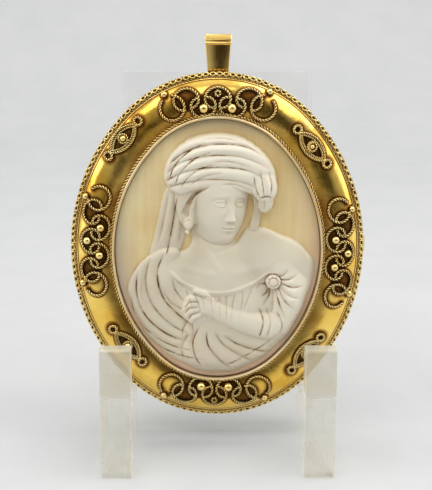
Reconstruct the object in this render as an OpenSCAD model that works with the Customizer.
// Cameo pendant in a domed gold border with wire scrolls, leaning on a clear display stand.
// Millimetres. X runs to the right, Z up, and the pendant faces -Y.
// The pendant is drawn flat, face up, on its back plane, and is then stood against the stand.

/* [Pendant outline] */
// Width over the beaded edge
pendant_w = 53; // [50:0.5:56]
// Height over the beaded edge
pendant_h = 63.4; // [60:0.5:67]
// Width of the gold border, from the beaded edge to the inside of the setting wall
border_w = 8; // [7.4:0.1:8.8]
// Angle at which the side arcs of the oval meet its end arcs
join_angle = 45; // [42:1:48]

/* [Gold border] */
// Thickness of the flat back of the border
back_t = 0.8; // [0.6:0.05:1.1]
// Radius of the roped wire around the outer edge
edge_wire_r = 0.45; // [0.38:0.01:0.54]
// Radius of the fine twisted wire beside it
twist_wire_r = 0.2; // [0.15:0.01:0.25]
// Radius of the smooth rim wire inside the twisted one
rim_wire_r = 0.17; // [0.14:0.01:0.22]
// Height of the outer foot of the domed band above the back
band_outer_z = 1.75; // [1.5:0.05:2.1]
// Height of the inner foot of the domed band above the back
band_inner_z = 3.15; // [2.8:0.05:3.4]
// Bulge of the domed band over the straight line between its feet
band_bulge = 1.05; // [0.7:0.05:1.3]
// Thickness of the smooth setting wall around the cameo
setting_t = 0.45; // [0.35:0.05:0.6]
// Height of the setting wall above the back
setting_z = 4.3; // [4:0.05:4.8]
// Width of the ledge that the cameo sits on
ledge_w = 1.1; // [0.8:0.1:1.5]
// Radius of the milled wire at the foot of the setting wall
milled_wire_r = 0.26; // [0.2:0.01:0.32]

/* [Wire scrolls] */
// Width of the scroll wire
wire_w = 0.62; // [0.5:0.02:0.7]
// Height of the scroll wire above the domed band
wire_rise = 0.42; // [0.3:0.02:0.55]
// Radius of each open loop, to the middle of its wire
loop_r = 2.15; // [1.95:0.05:2.25]
// Distance between neighbouring loops along the band
loop_pitch = 2.62; // [2.4:0.02:2.8]
// Number of loops in one scroll
loop_count = 7; // [5:2:7]
// Distance of the outer row of loops from the beaded edge
outer_row = 4.3; // [4.1:0.05:4.6]
// Distance between the outer and the inner row of loops
row_gap = 0.5; // [0.3:0.05:0.8]
// Angle left open in each loop
loop_open = 76; // [60:2:100]
// Radius of the gold grains
grain_r = 0.7; // [0.55:0.05:0.8]
// Height of the middle of a grain above the domed band
grain_rise = 0.3; // [0.15:0.05:0.4]

/* [Eye ornaments] */
// Length of the almond outline
eye_l = 6.8; // [6:0.1:7.4]
// Half width of the almond outline
eye_half_w = 1.55; // [1.35:0.05:1.7]
// Distance of the eye ornaments from the beaded edge
eye_row = 3.7; // [3.5:0.05:4.1]
// Turn of the eye ornaments from the side axis, seen from the centre of the side arc
eye_angle = 38; // [36.5:0.5:39.5]
// Radius of the ring in the middle of the eye
eye_ring_r = 0.95; // [0.9:0.05:1.05]
// Radius of the small rings at the two tips of the eye
tip_ring_r = 0.55; // [0.5:0.01:0.65]
// Width of the eye's wires
eye_wire_w = 0.5; // [0.4:0.02:0.56]

/* [Bail] */
// Width of the strap at its upper fold
bail_top_w = 4.7; // [4:0.1:5.4]
// Width of the strap at its foot behind the border
bail_foot_w = 3.2; // [2.8:0.1:3.8]
// Height of the strap above the beaded edge
bail_rise = 6.4; // [5.6:0.1:7.4]
// Thickness of the strap
bail_t = 0.5; // [0.4:0.05:0.6]
// Clear depth of the loop that a chain passes through
bail_gap = 1.7; // [1.4:0.1:2]
// Length of the strap that is soldered to the back of the border
bail_overlap = 3.6; // [3:0.1:4.5]
// Radius of the roll along the strap's upper fold
bail_roll_r = 0.6; // [0.5:0.05:0.7]

/* [Cameo] */
// Clearance between the cameo and the setting wall
cameo_gap = 0.12; // [0.08:0.01:0.2]
// Height of the ground at the rim of the cameo, above its own back
ground_t = 2.5; // [2.2:0.05:2.8]
// Rise of the ground from its rim to its middle
ground_crown = 0.7; // [0.4:0.05:1]
// Greatest height of the carving above the ground
carving_h = 2.1; // [1.6:0.05:2.6]

/* [Brooch pin] */
// Radius of the pin stem
pin_r = 0.42; // [0.35:0.01:0.5]
// Radius of the knuckle at the hinge end
knuckle_r = 0.95; // [0.8:0.05:1.1]
// Length of the knuckle
knuckle_l = 2.8; // [2.4:0.1:3.2]
// Part of the knuckle that shows beyond the beaded edge
knuckle_out = 0.75; // [0.5:0.05:0.9]
// Gap between the pin's feet and the back of the border
pin_seat_gap = 0.05; // [0.03:0.01:0.1]
// Distance of the pin stem behind the back of the border
pin_drop = 2.8; // [2.6:0.1:3]
// Radius of the barrel of the catch
catch_r = 1.1; // [0.9:0.05:1.3]
// Length of the barrel of the catch
catch_l = 3; // [2.5:0.1:3.5]

/* [Display stand] */
// Angle at which the pendant and the back plate lean back
lean = 6; // [3:0.5:9]
// Width over the outsides of the two arms
stand_w = 41.2; // [39:0.1:43]
// Width of one arm
arm_w = 5.5; // [5:0.1:6.5]
// Height of the lips above the front of the foot, along the lean
lip_top = 23.7; // [22:0.1:26]
// Thickness of the lips
lip_t = 3.5; // [3:0.1:4.2]
// Corner radius of the lips
lip_corner_r = 0.7; // [0.4:0.1:1]
// Height of the seat right behind the lip, along the lean
seat_front = 15; // [14:0.1:16.5]
// Height of the flat rear part of the seat, along the lean
seat_rear = 12.6; // [11.8:0.1:13.4]
// Distance from the front of the arms to where the seat turns flat
seat_break = 11; // [9.5:0.1:11.5]
// Distance from the front of the arms to the front of the back plate
plate_front = 18.7; // [18.3:0.1:19.5]
// Height at which the sloping underside of an arm meets the plate, along the lean
arm_under = 9.2; // [8:0.1:10]
// Length of the foot on the table
foot_l = 3; // [2.4:0.1:4]
// Width of the back plate
plate_w = 34.4; // [33:0.1:36]
// Height of the back plate, along the lean
plate_h = 70.3; // [67:0.1:74]
// Thickness of the back plate
plate_t = 3; // [2.6:0.1:3.6]
// Bevel along the front side edges of the plate
plate_bevel = 1.1; // [0.6:0.1:1.4]
// Clearance between the pendant's edge and the seat
seat_gap = 0.12; // [0.08:0.01:0.25]
// Clearance between the pin stem and the back plate
rest_gap = 0.2; // [0.1:0.05:0.4]

/* [Hidden] */
$fn = 64;

// Columns of the table of carved forms; places and sizes are shares of the cameo's half width
FORM_X = 0;
FORM_Y = 1;
FORM_W = 2;
FORM_H = 3;
FORM_TURN = 4;
FORM_RISE = 5;
// across, up, half width, half height, turn, rise
FORMS = [
    [0.02, 0.83, 0.52, 0.33, -4, 0.92],
    [0.34, 0.66, 0.22, 0.26, 20, 0.84],
    [-0.32, 0.62, 0.2, 0.34, -18, 0.8],
    [-0.02, 0.4, 0.3, 0.34, -14, 1],
    [-0.06, 0.08, 0.2, 0.34, 8, 0.62],
    [-0.45, 0.2, 0.13, 0.42, 4, 0.46],
    [-0.02, -0.34, 0.62, 0.46, 0, 0.6],
    [0.62, -0.12, 0.32, 0.34, -28, 0.78],
    [0.62, -0.5, 0.26, 0.42, 12, 0.66],
    [-0.56, -0.36, 0.28, 0.44, 10, 0.66],
    [-0.02, -0.86, 0.6, 0.3, 0, 0.6],
    [0.16, -0.62, 0.5, 0.17, 24, 0.95],
    [-0.2, -0.44, 0.17, 0.14, 30, 0.98]
];

// Columns of the table of folds: arcs, in shares of the cameo's half width
FOLD_X = 0;
FOLD_Y = 1;
FOLD_R = 2;
FOLD_FROM = 3;
FOLD_TO = 4;
FOLD_W = 5;
FOLD_RISE = 6;
// middle across, middle up, radius, from, to, half width, rise
FOLDS = [
    [0.1, 0.2, 0.86, 70, 128, 0.055, 0.1],
    [0.1, 0.2, 0.72, 62, 134, 0.055, 0.1],
    [0.1, 0.2, 0.58, 55, 140, 0.055, 0.1],
    [-0.05, -0.1, 0.6, 165, 250, 0.06, 0.16],
    [-0.05, -0.1, 0.75, 165, 255, 0.06, 0.16],
    [-0.05, -0.1, 0.9, 180, 262, 0.06, 0.16],
    [0.3, -0.3, 0.42, -60, 60, 0.05, 0.14],
    [0.3, -0.3, 0.55, -70, 50, 0.05, 0.14],
    [0.1, 0.1, 1.12, 262, 315, 0.05, 0.14],
    [0.1, 0.1, 1.26, 250, 310, 0.05, 0.14]
];

// Cells of the carving's grid along one side
carve_steps = 54;

// Oval of four arcs: the end arcs are centred above and below, the side arcs left and right
end_centre = (pendant_h - pendant_w) / 2 / (1 + 1 / tan(join_angle) - 1 / sin(join_angle));
side_centre = end_centre / tan(join_angle);
end_radius = pendant_h / 2 - end_centre;
side_radius = pendant_w / 2 + side_centre;

// Wires of the edge: how far in from the edge, and how high, their middles lie
edge_wire_z = 1.2;
twist_in = 2 * edge_wire_r + twist_wire_r * 0.6;
twist_z = edge_wire_z + edge_wire_r * 0.9;

// Circle of the domed band's profile: its feet, radius and middle, as distance in from the edge
band_from = 2 * edge_wire_r + twist_wire_r;
band_to = border_w - setting_t - milled_wire_r * 0.7;
band_chord = norm([band_to - band_from, band_inner_z - band_outer_z]);
band_tilt = atan2(band_inner_z - band_outer_z, band_to - band_from);
band_r = (pow(band_chord / 2, 2) + pow(band_bulge, 2)) / (2 * band_bulge);
band_mid = (band_from + band_to) / 2 + (band_r - band_bulge) * sin(band_tilt);
band_base = (band_outer_z + band_inner_z) / 2 - (band_r - band_bulge) * cos(band_tilt);

// Height of the domed band at a distance in from the beaded edge
function band_z(inset) = band_base + sqrt(pow(band_r, 2) - pow(inset - band_mid, 2));

// Seat of the cameo
cameo_edge = border_w + cameo_gap;
cameo_back = back_t + cameo_gap;

// Leaning frame of the pendant: distance behind the arms' front, and height along the lean
back_from_front = plate_front - rest_gap - pin_drop - pin_r;
inner_arm_x = stand_w / 2 - arm_w;
pendant_up = seat_rear + seat_gap + end_centre + sqrt(pow(end_radius, 2) - pow(inner_arm_x, 2));

// Point of the leaning frame as [Y, Z] in the upright one
function leaned(depth, up) = [depth * cos(lean) + up * sin(lean), up * cos(lean) - depth * sin(lean)];

// Middle of the footprint, from the front of the foot to the top of the back plate
middle_y = leaned(plate_front + plate_t, plate_h)[0] / 2;

// Sweeps a flat profile round the oval; x = 0 of the profile is the outer edge, inward is negative
module around_oval() {
    for (half = [0, 1])
        rotate([0, 0, 180 * half]) {
            translate([-side_centre, 0, 0])
                rotate([0, 0, -join_angle])
                    rotate_extrude(angle = 2 * join_angle)
                        translate([side_radius, 0]) children();
            translate([0, end_centre, 0])
                rotate([0, 0, join_angle])
                    rotate_extrude(angle = 180 - 2 * join_angle)
                        translate([end_radius, 0]) children();
        }
}

// Profile of the border: domed band, edge wires, milled wire, setting wall and ledge
module border_profile() {
    intersection() {
        translate([-band_mid, band_base]) circle(r = band_r, $fn = 96);
        translate([-border_w, 0]) square([border_w - band_from, setting_z]);
    }
    translate([-border_w, 0]) square([border_w - edge_wire_r, band_outer_z - 0.2]);
    translate([-edge_wire_r, edge_wire_z]) circle(r = edge_wire_r, $fn = 32);
    translate([-twist_in, twist_z]) circle(r = twist_wire_r, $fn = 24);
    translate([-band_from - rim_wire_r, band_z(band_from + rim_wire_r)]) circle(r = rim_wire_r, $fn = 24);
    translate([-band_to, band_z(band_to) + milled_wire_r * 0.3]) circle(r = milled_wire_r, $fn = 24);
    translate([-border_w, 0]) square([setting_t, setting_z]);
    translate([-border_w - ledge_w, 0]) square([ledge_w + setting_t, back_t]);
}

// Outline of a ring of wire
module ring_outline(radius, width) {
    difference() {
        circle(r = radius + width / 2, $fn = 48);
        circle(r = radius - width / 2, $fn = 48);
    }
}

// Outline of one open loop; its opening faces outward
module loop_outline() {
    reach = 2 * loop_r;
    difference() {
        ring_outline(loop_r, wire_w);
        polygon([[0, 0], [reach, -reach * tan(loop_open / 2)], [reach, reach * tan(loop_open / 2)]]);
    }
}

// Turn along an arc that takes one loop to the next
function loop_step(radius) = loop_pitch / (radius - outer_row) * 180 / PI;

// Outline of the interlaced loops of one scroll, seen from the centre of its arc
module scroll_outline(radius) {
    last = (loop_count - 1) / 2;
    for (i = [-last : last]) {
        outer = (i + last) % 2 == 1;
        rotate(i * loop_step(radius))
            translate([radius - outer_row - (outer ? 0 : row_gap), 0])
                rotate(outer ? 180 : 0) loop_outline();
    }
}

// Outline of an eye: almond, middle ring and a small ring at each tip
module eye_outline(turn) {
    arc_r = (pow(eye_l / 2, 2) + pow(eye_half_w, 2)) / (2 * eye_half_w);
    off = arc_r - eye_half_w;
    half = eye_wire_w / 2;
    rotate(turn) translate([side_radius - eye_row, 0]) {
        difference() {
            intersection_for(side = [-1, 1]) translate([side * off, 0]) circle(r = arc_r + half, $fn = 64);
            intersection_for(side = [-1, 1]) translate([side * off, 0]) circle(r = arc_r - half, $fn = 64);
        }
        for (tip = [-1, 1])
            translate([0, tip * (eye_l / 2 + tip_ring_r)]) ring_outline(tip_ring_r, eye_wire_w);
        ring_outline(eye_ring_r, eye_wire_w);
    }
}

// Upright walls along all the ornament's wires, before they are cut to the band's curve
module wire_walls() {
    for (half = [0, 1])
        rotate([0, 0, 180 * half]) {
            translate([0, end_centre, band_outer_z - 0.5])
                rotate([0, 0, 90]) linear_extrude(height = setting_z) scroll_outline(end_radius);
            translate([-side_centre, 0, band_outer_z - 0.5])
                linear_extrude(height = setting_z) scroll_outline(side_radius);
            for (turn = [-1, 1])
                translate([-side_centre, 0, band_outer_z - 0.5])
                    linear_extrude(height = setting_z) eye_outline(turn * eye_angle);
        }
}

// Wires of the scrolls and eyes, lying on the domed band
module wires() {
    intersection() {
        around_oval()
            intersection() {
                translate([-band_mid, band_base]) circle(r = band_r + wire_rise, $fn = 96);
                translate([-band_to, 1]) square([band_to - band_from, setting_z + 1]);
            }
        wire_walls();
    }
}

// One grain on the domed band
module grain(radius, turn, inset, size) {
    rotate([0, 0, turn])
        translate([radius - inset, 0, band_z(inset) + grain_rise]) sphere(r = size, $fn = 32);
}

// Grains of one scroll
module scroll_grains(radius) {
    last = (loop_count - 1) / 2;
    for (i = [-last, 0, last])
        grain(radius, i * loop_step(radius), outer_row - loop_r * 0.6, grain_r);
    for (i = [-1, 1])
        grain(radius, i * loop_step(radius), outer_row + row_gap + grain_r * 0.4, grain_r);
}

// All the grains
module grains() {
    for (half = [0, 1])
        rotate([0, 0, 180 * half]) {
            translate([0, end_centre, 0]) rotate([0, 0, 90]) scroll_grains(end_radius);
            translate([-side_centre, 0, 0]) scroll_grains(side_radius);
            for (turn = [-1, 1])
                translate([-side_centre, 0, 0])
                    grain(side_radius, turn * eye_angle, eye_row, grain_r * 0.85);
        }
}

// Side view of the strap folded into a loop, in [distance in front of the border's back, height]
module strap_profile() {
    fold_r = bail_gap / 2 + bail_t;
    fold_y = pendant_h / 2 + bail_rise - fold_r;
    foot_y = pendant_h / 2 - bail_overlap + fold_r;
    middle = 0.1 - fold_r;
    difference() {
        union() {
            translate([middle - fold_r, foot_y]) square([2 * fold_r, fold_y - foot_y]);
            translate([middle, fold_y]) circle(r = fold_r, $fn = 48);
            translate([middle, foot_y]) circle(r = fold_r, $fn = 48);
            translate([middle + fold_r - bail_roll_r / 2, fold_y + fold_r - bail_roll_r * 1.6])
                circle(r = bail_roll_r, $fn = 32);
        }
        translate([middle - bail_gap / 2, foot_y]) square([bail_gap, fold_y - foot_y]);
        translate([middle, fold_y]) circle(r = bail_gap / 2, $fn = 48);
        translate([middle, foot_y]) circle(r = bail_gap / 2, $fn = 48);
    }
}

// Tapered strap loop; its front leaf is soldered to the back of the border
module bail() {
    depth = 2 * (bail_gap + 2 * bail_t);
    top_y = pendant_h / 2 + bail_rise + 0.1;
    foot_y = pendant_h / 2 - bail_overlap - 0.1;
    intersection() {
        translate([bail_top_w, 0, 0])
            rotate([0, -90, 0])
                linear_extrude(height = 2 * bail_top_w) strap_profile();
        translate([0, 0, -depth])
            linear_extrude(height = 2 * depth)
                polygon([
                    [-bail_foot_w / 2, foot_y],
                    [bail_foot_w / 2, foot_y],
                    [bail_top_w / 2, top_y],
                    [-bail_top_w / 2, top_y]
                ]);
    }
}

// Gold frame of the pendant: border, setting, wires, grains and bail, soldered into one piece
module frame() {
    color("gold") on_stand() {
        around_oval() border_profile();
        wires();
        grains();
        bail();
    }
}

// Distance from the middle of the oval to its edge in one direction
function oval_reach(angle, inset) =
    let (c = abs(cos(angle)), s = abs(sin(angle)))
    let (er = end_radius - inset, sr = side_radius - inset)
    let (joint_x = er * cos(join_angle), joint_y = end_centre + er * sin(join_angle))
    s * joint_x > c * joint_y
        ? end_centre * s + sqrt(er * er - pow(end_centre * c, 2))
        : sqrt(sr * sr - pow(side_centre * s, 2)) - side_centre * c;

// Point of the unit disc for a point of the square grid
function on_disc(u, v) =
    u == 0 && v == 0 ? [0, 0]
    : abs(u) > abs(v) ? [u * cos(45 * v / u), u * sin(45 * v / u)]
    : [v * sin(45 * u / v), v * cos(45 * u / v)];

// Rounded form: a dome over an ellipse, in shares of the carving's height
function form_rise(f, x, y) =
    let (dx = x - f[FORM_X], dy = y - f[FORM_Y])
    let (a = (dx * cos(f[FORM_TURN]) + dy * sin(f[FORM_TURN])) / f[FORM_W])
    let (b = (dy * cos(f[FORM_TURN]) - dx * sin(f[FORM_TURN])) / f[FORM_H])
    let (q = a * a + b * b)
    q < 1 ? f[FORM_RISE] * sqrt(1 - q) : 0;

// Fold: a rounded ridge along an arc
function fold_rise(f, x, y) =
    let (dx = x - f[FOLD_X], dy = y - f[FOLD_Y])
    let (turn = (atan2(dy, dx) - f[FOLD_FROM] + 720) % 360)
    let (span = f[FOLD_TO] - f[FOLD_FROM])
    let (q = (norm([dx, dy]) - f[FOLD_R]) / f[FOLD_W])
    turn > span || abs(q) > 1 ? 0
        : f[FOLD_RISE] * (1 - q * q) * min(1, 6 * min(turn, span - turn) / span);

// Height of the carved face above the cameo's back, at a point given in shares of its half width
function carved_z(x, y, share) =
    let (edge = max(0, min(1, (1 - share) * 9)))
    let (form = max([for (f = FORMS) form_rise(f, x, y)]))
    let (fold = max([for (f = FOLDS) fold_rise(f, x, y)]))
    ground_t + ground_crown * (1 - share * share) + edge * carving_h * (form + (form > 0.2 ? fold : 0));

// Shell cameo: a closed skin over a square grid that is bent to the oval
module cameo_flat() {
    n = carve_steps;
    half_w = pendant_w / 2 - cameo_edge;
    places = [for (i = [0 : n]) for (j = [0 : n])
        let (d = on_disc(2 * i / n - 1, 2 * j / n - 1))
        let (reach = oval_reach(atan2(d[1], d[0]), cameo_edge))
        [d[0] * reach, d[1] * reach, norm(d)]];
    face = [for (p = places) [p[0], p[1], carved_z(p[0] / half_w, p[1] / half_w, p[2])]];
    rim = concat(
        [for (i = [0 : n - 1]) i * (n + 1)],
        [for (j = [0 : n - 1]) n * (n + 1) + j],
        [for (i = [n : -1 : 1]) i * (n + 1) + n],
        [for (j = [n : -1 : 1]) j]);
    back = [for (k = rim) [places[k][0], places[k][1], 0]];
    count = len(rim);
    first = len(face);
    skin = [for (i = [0 : n - 1]) for (j = [0 : n - 1])
        let (k = i * (n + 1) + j)
        each [[k, k + 1, k + n + 2], [k, k + n + 2, k + n + 1]]];
    wall = [for (k = [0 : count - 1])
        let (next = (k + 1) % count)
        each [[rim[k], rim[next], first + next], [rim[k], first + next, first + k]]];
    floor_face = [[for (k = [0 : count - 1]) first + k]];
    translate([0, 0, cameo_back])
        polyhedron(points = concat(face, back), faces = concat(skin, wall, floor_face), convexity = 6);
}

// Brooch pin on the back: hinge foot and knuckle, stem, and the barrel of the catch
module pin_flat() {
    knuckle_x = pendant_w / 2 - knuckle_r + knuckle_out;
    catch_x = pendant_w / 2 - border_w / 2;
    foot_w = 2.4;
    translate([knuckle_x, knuckle_l / 2, -pin_drop])
        rotate([90, 0, 0]) cylinder(r = knuckle_r, h = knuckle_l);
    translate([knuckle_x - foot_w - 0.4, -knuckle_l / 2, -pin_drop - 0.3])
        cube([foot_w, knuckle_l, pin_drop + 0.3 - pin_seat_gap]);
    translate([-catch_x, 0, -pin_drop])
        rotate([0, 90, 0]) cylinder(r = pin_r, h = catch_x + knuckle_x);
    translate([-catch_x - catch_l / 2, 0, -pin_drop])
        rotate([0, 90, 0]) cylinder(r = catch_r, h = catch_l);
    translate([-catch_x - catch_l / 2, -catch_r * 0.7, -pin_drop])
        cube([catch_l, catch_r * 1.4, pin_drop - pin_seat_gap]);
}

// One arm seen from the side: foot, front face, lip, seat and sloping underside
module arm_profile() {
    polygon([
        [0, 0],
        leaned(0, lip_top),
        leaned(lip_t, lip_top),
        leaned(lip_t, seat_front),
        leaned(seat_break, seat_rear),
        leaned(plate_front + plate_t, seat_rear),
        leaned(plate_front + plate_t, arm_under),
        leaned(plate_front, arm_under),
        [foot_l, 0]
    ]);
}

// Clear stand: back plate with two arms, one piece
module stand_upright() {
    for (side = [-1, 1])
        intersection() {
            translate([side * (stand_w - arm_w) / 2 - arm_w / 2, 0, 0])
                rotate([90, 0, 90]) linear_extrude(height = arm_w) arm_profile();
            translate([side * (stand_w - arm_w) / 2, plate_h, 0])
                rotate([90, 0, 0]) linear_extrude(height = 2 * plate_h) lip_outline();
        }
    difference() {
        rotate([90 - lean, 0, 0])
            rotate([-90, 0, 0])
                linear_extrude(height = plate_h) plate_section();
        translate([-plate_w, 0, -plate_t * 2]) cube([2 * plate_w, 2 * plate_h, 2 * plate_t]);
    }
}

// Front view of one arm, with the rounded top corners of the lip
module lip_outline() {
    top = leaned(0, lip_top)[1];
    square_h = top - lip_corner_r;
    translate([-arm_w / 2, 0]) square([arm_w, square_h]);
    translate([lip_corner_r - arm_w / 2, 0]) square([arm_w - 2 * lip_corner_r, top]);
    for (side = [-1, 1])
        translate([side * (arm_w / 2 - lip_corner_r), square_h]) circle(r = lip_corner_r, $fn = 32);
}

// Cut across the back plate, in [across, distance behind the arms' front]
module plate_section() {
    back = plate_front + plate_t;
    polygon([
        [plate_bevel - plate_w / 2, plate_front],
        [plate_w / 2 - plate_bevel, plate_front],
        [plate_w / 2, plate_front + plate_bevel],
        [plate_w / 2, back],
        [-plate_w / 2, back],
        [-plate_w / 2, plate_front + plate_bevel]
    ]);
}

// Centres the whole over its footprint
module centred() {
    translate([-knuckle_out / 2, -middle_y, 0]) children();
}

// Leans the flat pendant against the stand
module on_stand() {
    place = leaned(back_from_front, pendant_up);
    centred()
        translate([0, place[0], place[1]])
            rotate([90 - lean, 0, 0]) children();
}

// Shell cameo in its setting
module cameo() {
    color("linen") on_stand() cameo_flat();
}

// Brooch pin behind the border
module brooch_pin() {
    color("goldenrod") on_stand() pin_flat();
}

// Clear stand that holds the pendant up
module stand() {
    color("lightcyan", 0.4) centred() stand_upright();
}

frame();
cameo();
brooch_pin();
stand();
